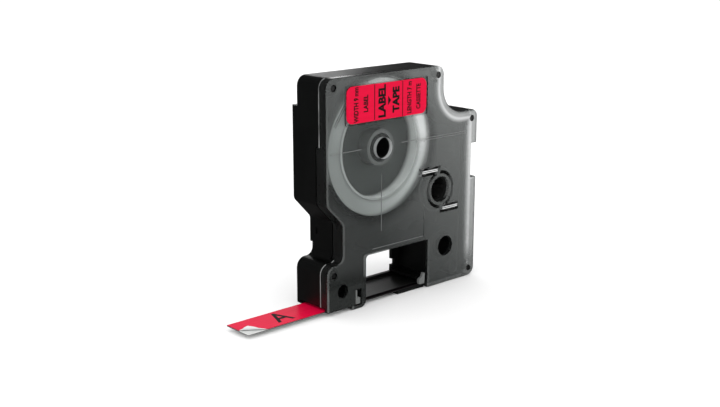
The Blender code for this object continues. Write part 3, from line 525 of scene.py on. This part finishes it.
finishes = {
    "rear_case": black_plastic(),
    "front_cover": smoky_plastic(),
    "front_label": label_material(),
    "label_tape": tape_material(),
    "tape_liner": liner_material(),
    "tape_supply_strand": paper("strand_pale", (0.46, 0.45, 0.45), (0.38, 0.37, 0.37)),
    "tape_core": core_material(),
    "tape_roll": roll_pale,
    "front_slip_disc": slip_film,
    "rear_slip_disc": slip_film,
    "upper_guide_roller": roller_grey,
    "lower_guide_roller": roller_grey,
    "ribbon_return_roller": roller_grey,
    "ribbon_supply_core": ribbon_core_grey,
    "ribbon_supply_roll": ribbon_black,
    "ribbon_takeup_roll": ribbon_black,
    "ribbon_brake_spring": metal("spring_steel", (0.55, 0.55, 0.54), 0.25),
    "ribbon_takeup_core": takeup_material(),
    "ribbon_strand": ribbon_material(),
    "ribbon_entry_pin": pin_steel,
    "ribbon_peel_pin": pin_steel,
    "window_guide_clip": clip_pale,
    "exit_guide_clip": clip_pale,
}

for node_name, finish in finishes.items():
    materials = nodes[node_name].data.materials
    if len(materials) == 0:
        materials.append(finish)
    for index in range(len(materials)):
        materials[index] = finish

ink = ink_material()

# ---------------------------------------------------------------- printing and ridges

# A box's faces, when its points go round one of its sides and then, in step, round the opposite side.
BOX_FACES = [(0, 1, 2, 3), (7, 6, 5, 4), (0, 4, 5, 1), (1, 5, 6, 2), (2, 6, 7, 3), (3, 7, 4, 0)]


def mesh_piece(name, points, faces, finish, body):
    """A new closed piece from drawing points, riding on a body."""
    mesh = bpy.data.meshes.new(name)
    mesh.from_pydata([at(*p) for p in points], [], faces)
    mesh.materials.append(finish)
    made = bpy.data.objects.new(name, mesh)
    bpy.context.scene.collection.objects.link(made)
    bm = bmesh.new()
    bm.from_mesh(mesh)
    bmesh.ops.recalc_face_normals(bm, faces=bm.faces)
    bm.to_mesh(mesh)
    bm.free()
    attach(made, body)
    return made


def words(name, text, size, origin, along, up, body, bold=0.0, stretch=1.0):
    """Printed words as thin ink, about an origin: along is the reading direction, up the letters' tops."""
    curve = bpy.data.curves.new(name, "FONT")
    curve.body = text
    curve.size = size * MM
    curve.align_x = "CENTER"
    curve.align_y = "CENTER"
    curve.offset = bold * MM
    curve.extrude = INK * MM / 2
    curve.resolution_u = 3
    made = bpy.data.objects.new(name, curve)
    bpy.context.scene.collection.objects.link(made)
    dg = bpy.context.evaluated_depsgraph_get()
    mesh = bpy.data.meshes.new_from_object(made.evaluated_get(dg))
    bpy.data.objects.remove(made)
    along = Vector(along)
    up = Vector(up)
    out = along.cross(up)
    place = at(*origin)
    for v in mesh.vertices:
        v.co = place + along * v.co.x * stretch + up * v.co.y + out * v.co.z
    mesh.name = name
    mesh.materials.clear()
    mesh.materials.append(ink)
    made = bpy.data.objects.new(name, mesh)
    bpy.context.scene.collection.objects.link(made)
    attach(made, body)
    return made


def label_shape(outline):
    """The points of a flat printed shape on the label, front and back."""
    return [(x, y, z) for y in (LABEL_FACE_Y - INK, LABEL_FACE_Y - INK_LIFT) for x, z in outline]


def label_bar(name, x0, x1, z0, z1):
    points = label_shape(((x0, z0), (x1, z0), (x1, z1), (x0, z1)))
    return mesh_piece(name, points, BOX_FACES, ink, "case")


LABEL_FOOT = 50.7
LABEL_TOP = 60.7
LABEL_MARGIN = 0.15
LABEL_DIVIDERS = (17.1, 27.6)
LABEL_MIDDLE_Z = (LABEL_FOOT + LABEL_TOP) / 2
LINE_WIDTH = 0.26

for count, x in enumerate(LABEL_DIVIDERS):
    half = LINE_WIDTH / 2
    foot = LABEL_FOOT + LABEL_MARGIN
    label_bar(f"label_divider_{count}", x - half, x + half, foot, LABEL_TOP - LABEL_MARGIN)

PRINT_Y = LABEL_FACE_Y - INK / 2 - INK_LIFT
UP = (0.0, 0.0, 1.0)
LEFT = (-1.0, 0.0, 0.0)
# Name, text, letter height, X of the line's middle, boldness and width of letters.
lines = (
    ("label_word_0", "LABEL", 3.55, 20.0, 0.17, 0.93),
    ("label_word_1", "TAPE", 3.3, 25.2, 0.17, 0.93),
    ("label_word_2", "WIDTH 9 mm", 2.2, 10.5, 0.08, 0.72),
    ("label_word_3", "LABEL", 2.2, 14.0, 0.08, 0.78),
    ("label_word_4", "LENGTH 7 m", 2.2, 30.3, 0.08, 0.72),
    ("label_word_5", "CASSETTE", 2.2, 33.8, 0.08, 0.72),
)
for name, text, size, x, bold, stretch in lines:
    words(name, text, size, (x, PRINT_Y, LABEL_MIDDLE_Z), UP, LEFT, "case", bold, stretch)

ARROW = ((22.1, 57.0), (23.2, 55.7), (22.1, 54.4))
ARROW_FACES = [(0, 1, 2), (5, 4, 3), (0, 3, 4, 1), (1, 4, 5, 2), (2, 5, 3, 0)]
mesh_piece("label_arrow", label_shape(ARROW), ARROW_FACES, ink, "case")

words(
    "tape_letter", "A", 9.2, (-11.6, 5.9, INK / 2 + INK_LIFT), (1.0, 0.0, 0.0), (0.0, 1.0, 0.0),
    "tape_run", 0.12, 0.88,
)


def rectangle(x0, x1, z0, z1, lip):
    """The corners of a rectangle, drawn in by the lip on every side."""
    left, right, foot, top = x0 + lip, x1 - lip, z0 + lip, z1 - lip
    return (left, foot), (right, foot), (right, top), (left, top)


def bar(name, x0, x1, depths, z0, z1, finish):
    """A thin strip in the cover's face, bevelled towards its front."""
    front, back = depths
    lip = min(x1 - x0, z1 - z0) * 0.2
    points = [(x, back, z) for x, z in rectangle(x0, x1, z0, z1, 0.0)]
    points += [(x, front, z) for x, z in rectangle(x0, x1, z0, z1, lip)]
    return mesh_piece(name, points, BOX_FACES, finish, "case")


# Thin pale lines in the cover, where the moulded plastic flowed together, as (X0, X1, Z0, Z1).
flow_mark = moulded("flow_mark", (0.16, 0.165, 0.163), (0.22, 0.225, 0.223), 0.35, 0.3, 0.001)
HALF_LINE = 0.08
FLOW_LINES = (
    (1.6, 12.3, 43.4 - HALF_LINE, 43.4 + HALF_LINE),
    (27.4, 53.9, 43.4 - HALF_LINE, 43.4 + HALF_LINE),
    (33.1, 53.9, 42.8 - HALF_LINE, 42.8 + HALF_LINE),
    (16.4, 36.3, 14.7 - HALF_LINE, 14.7 + HALF_LINE),
    (19.8 - HALF_LINE, 19.8 + HALF_LINE, 19.3, 35.5),
)
FLOW_DEPTHS = (0.012, 0.11)
for count, (x0, x1, z0, z1) in enumerate(FLOW_LINES):
    bar(f"flow_line_{count}", x0, x1, FLOW_DEPTHS, z0, z1, flow_mark)

# Two ridges on each of the sprung ring's arms, pale as a painted highlight.
ARM_RISE = 5.9
ARM_NEAR = 1.2
ARM_FAR = 7.4
ARM_DEPTHS = (0.012, 0.14)
RIDGE_OFFSET = 0.24
RIDGE_HALF = 0.13
arm_ridge_highlight = moulded("arm_ridge_highlight", (0.55, 0.56, 0.555), (0.68, 0.69, 0.685), 0.3, 0.3, 0.001)
for arm, side in (("upper", 1.0), ("lower", -1.0)):
    x0, x1 = sorted((RIBBON_TAKEUP[0] - side * ARM_NEAR, RIBBON_TAKEUP[0] - side * ARM_FAR))
    middle = RIBBON_TAKEUP[1] + side * ARM_RISE
    for count, offset in enumerate((-RIDGE_OFFSET, RIDGE_OFFSET)):
        z0 = middle + offset - RIDGE_HALF
        z1 = middle + offset + RIDGE_HALF
        bar(f"arm_ridge_highlight_{arm}_{count}", x0, x1, ARM_DEPTHS, z0, z1, arm_ridge_highlight)

# ---------------------------------------------------------------- floor, light and camera


def plain(name, colour, roughness):
    """A nearly even matt surface."""
    s = Shader(name)
    cloud = s.noise(60.0, 2.0)
    return s.finish(s.principled(s.blend(cloud, colour, tuple(part * 0.99 for part in colour)), roughness))


FLOOR_HALF = 4.0
floor_mesh = bpy.data.meshes.new("floor")
corners = rectangle(-FLOOR_HALF, FLOOR_HALF, -FLOOR_HALF, FLOOR_HALF, 0.0)
floor_mesh.from_pydata([(x, y, 0) for x, y in corners], [], [(0, 1, 2, 3)])
floor_mesh.materials.append(plain("floor_white", (0.80, 0.80, 0.80), 0.9))
floor = bpy.data.objects.new("floor", floor_mesh)
bpy.context.scene.collection.objects.link(floor)
floor.visible_glossy = False

world = bpy.data.worlds.new("studio")
bpy.context.scene.world = world
world.use_nodes = True
sky = world.node_tree
sky.nodes.clear()
sky_out = sky.nodes.new("ShaderNodeOutputWorld")
path = sky.nodes.new("ShaderNodeLightPath")


def backdrop(strength):
    """A white background of this strength."""
    made = sky.nodes.new("ShaderNodeBackground")
    made.inputs["Color"].default_value = (1.0, 1.0, 1.0, 1.0)
    made.inputs["Strength"].default_value = strength
    return made


# White behind the object, a bright soft fill on it, and little of it mirrored in its gloss.
shown = backdrop(1.0)
fill = backdrop(1.45)
mirror = backdrop(0.06)
first = sky.nodes.new("ShaderNodeMixShader")
second = sky.nodes.new("ShaderNodeMixShader")
sky.links.new(path.outputs["Is Glossy Ray"], first.inputs[0])
sky.links.new(fill.outputs[0], first.inputs[1])
sky.links.new(mirror.outputs[0], first.inputs[2])
sky.links.new(path.outputs["Is Camera Ray"], second.inputs[0])
sky.links.new(first.outputs[0], second.inputs[1])
sky.links.new(shown.outputs[0], second.inputs[2])
sky.links.new(second.outputs[0], sky_out.inputs["Surface"])


def softbox(name, place, target, width, height, power):
    """A soft rectangular lamp, facing its target and unseen by the camera."""
    data = bpy.data.lights.new(name, "AREA")
    data.shape = "RECTANGLE"
    data.size = width
    data.size_y = height
    data.energy = power
    made = bpy.data.objects.new(name, data)
    made.location = place
    made.rotation_euler = (Vector(target) - Vector(place)).to_track_quat("-Z", "Y").to_euler()
    made.visible_camera = False
    bpy.context.scene.collection.objects.link(made)


CENTRE = (0.0, 0.0, 0.03)
softbox("top_light", (0.05, -0.10, 0.95), CENTRE, 0.9, 0.9, 1.0)
softbox("front_right_light", (0.72, -0.46, 0.14), CENTRE, 0.5, 0.26, 2.6)
softbox("back_light", (0.349, 0.478, 0.144), (-0.010, 0.0, 0.065), 0.11, 0.12, 0.13)
softbox("edge_light", (-0.45, -0.45, 0.35), CENTRE, 0.12, 0.12, 0.35)

camera_data = bpy.data.cameras.new("camera")
camera_data.lens = 55.44
camera_data.sensor_width = 36.0
camera_data.clip_start = 0.01
camera_data.clip_end = 20.0
camera = bpy.data.objects.new("camera", camera_data)
camera.location = at(-184.29, -215.98, 102.84)
camera.rotation_euler = (math.radians(75.72), 0.0, math.radians(-42.23))
bpy.context.scene.collection.objects.link(camera)
bpy.context.scene.camera = camera
bpy.context.scene.view_settings.view_transform = "Standard"
